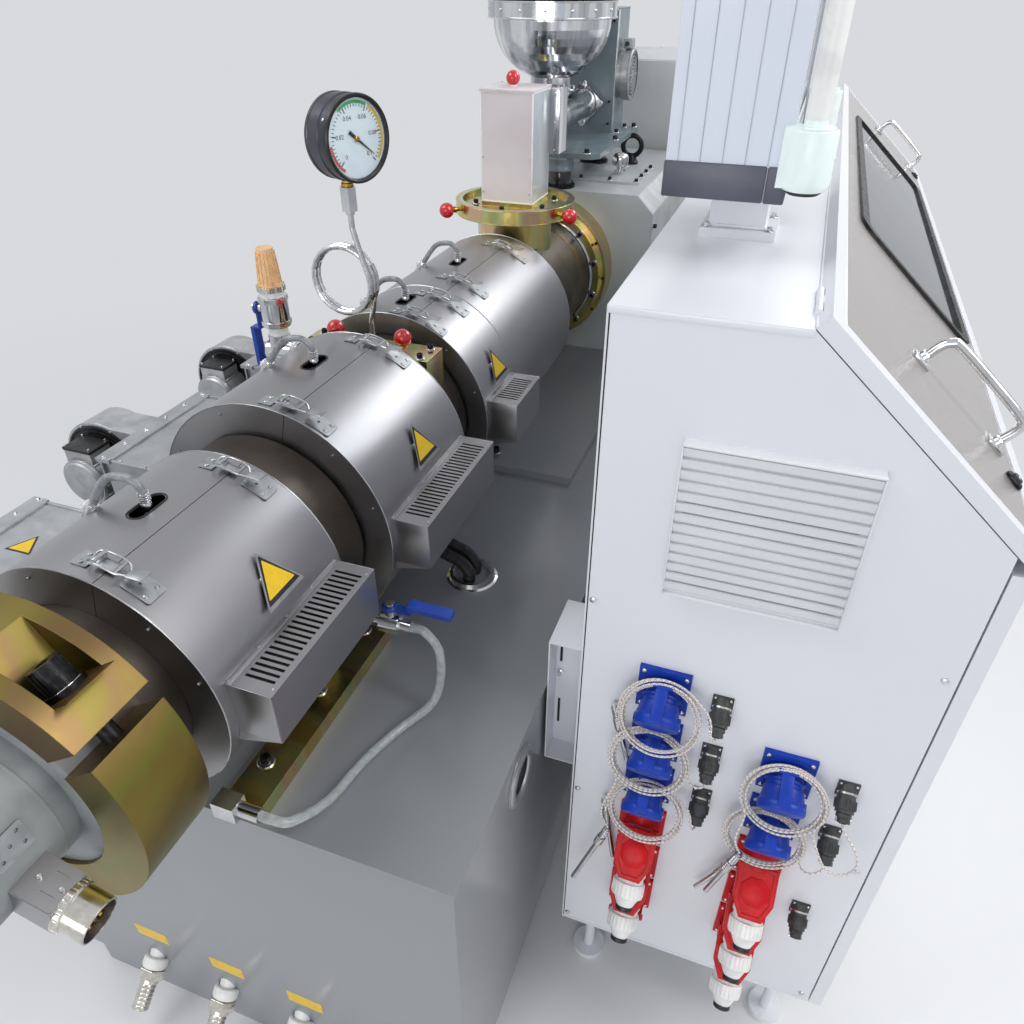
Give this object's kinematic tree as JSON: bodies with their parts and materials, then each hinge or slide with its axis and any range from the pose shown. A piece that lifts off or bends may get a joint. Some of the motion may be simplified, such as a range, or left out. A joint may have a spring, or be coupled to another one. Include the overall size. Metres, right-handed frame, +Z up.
{
  "type": "plastic extruder",
  "caption": "Floor-standing plastic extruder: shrouded heated barrel on a long base, clamped die end, vacuum vent, feeder and gearbox, with a control cabinet beside it.",
  "frame": {"origin": "on the floor under the screw axis, just behind the front face of the machine base", "axes": "+X to the control cabinet, +Y along the screw axis from the die end to the drive, +Z up"},
  "size_m": [1.8037, 3.92, 2.129],
  "materials": {
    "machine_paint": "light grey-green machine paint, semi-gloss",
    "zinc_plate": "yellow zinc plating with a rainbow tint",
    "dark_steel": "oiled dark nitrided steel",
    "stainless_sheet": "dull stainless sheet",
    "duct_sheet": "galvanised and painted sheet",
    "blower_paint": "dark grey cast paint",
    "black_bolts": "black oxide",
    "heater_band": "grey-green heat-proof paint",
    "bright_steel": "polished stainless and nickel plate",
    "lever_blue": "dipped blue vinyl",
    "clear_acrylic": "clear acrylic sheet, milky with protective film",
    "slate_paint": "slate grey hammer paint",
    "cabinet_paint": "white powder coat, fine satin",
    "louver_plastic": "light grey moulded plastic",
    "socket_blue": "blue moulded plastic",
    "socket_red": "red moulded plastic",
    "connector_grey": "dark grey die cast and plastic",
    "handle_mint": "pale mint plastic and white tube",
    "clear_hose": "clear soft hose",
    "black_conduit": "black corrugated conduit",
    "white_plastic": "white moulded plastic",
    "braided_lead": "white glass-fibre braid with red and black tracer threads",
    "nickel_fitting": "nickel-plated brass"
  },
  "bodies": {
    "machine": {"base_frame": "machine_paint", "deck_plate": "machine_paint", "barrel_rails": "zinc_plate", "barrel": "dark_steel", "zone_1_shroud": "stainless_sheet", "zone_2_shroud": "stainless_sheet", "zone_3_shroud": "stainless_sheet", "zone_4_shroud": "stainless_sheet", "side_vents": "stainless_sheet", "air_ducts": "duct_sheet", "cooling_blowers": "blower_paint", "clamp_upper": "zinc_plate", "clamp_lower": "zinc_plate", "clamp_bolts": "black_bolts", "die_adapter": "heater_band", "heater_connector": "bright_steel", "vent_block": "zinc_plate", "gauge_pipe": "bright_steel", "vacuum_gauge": "bright_steel", "vacuum_valve": "bright_steel", "feed_throat": "zinc_plate", "feed_chute": "clear_acrylic", "gearbox_flange": "zinc_plate", "gearbox": "machine_paint", "feeder_stand": "slate_paint", "feeder_screw": "bright_steel", "feeder_hopper": "bright_steel", "feeder_motor": "slate_paint", "motor_cover": "machine_paint", "cabinet_body": "cabinet_paint", "cabinet_louver": "louver_plastic", "blue_sockets": "socket_blue", "red_sockets": "socket_red", "white_plugs": "white_plastic", "plug_connectors": "connector_grey", "lead_coils": "braided_lead", "lead_tails": "braided_lead", "lead_probes": "bright_steel", "cable_duct_box": "cabinet_paint", "hmi_pillar": "cabinet_paint", "hmi_box": "cabinet_paint", "hmi_handle": "handle_mint", "drain_valve": "bright_steel", "water_hose": "clear_hose", "cable_conduits": "black_conduit", "water_fittings": "nickel_fitting"},
    "lid": {"console_lid": "cabinet_paint"},
    "door": {"cabinet_door": "cabinet_paint"},
    "vacuum_lever": {"vacuum_valve_lever": "lever_blue"},
    "drain_lever": {"drain_valve_lever": "lever_blue"}
  },
  "joints": [
    {"name": "lid_hinge", "type": "hinge", "parent": "machine", "child": "lid", "pos_m": [0.83, 1.635, 1.668], "axis": [0, -1, 0], "range_deg": [0, 45]},
    {"name": "door_hinge", "type": "hinge", "parent": "machine", "child": "door", "pos_m": [1.14, 1.505, 0.8], "axis": [0, 0, 1], "range_deg": [0, 100]},
    {"name": "vacuum_valve_turn", "type": "hinge", "parent": "machine", "child": "vacuum_lever", "pos_m": [-0.2623, 0.765, 1.421], "axis": [1, 0, 0], "range_deg": [0, 90]},
    {"name": "drain_valve_turn", "type": "hinge", "parent": "machine", "child": "drain_lever", "pos_m": [0.242, 0.326, 1.0923], "axis": [0, 0, 1], "range_deg": [0, 90]}
  ]
}
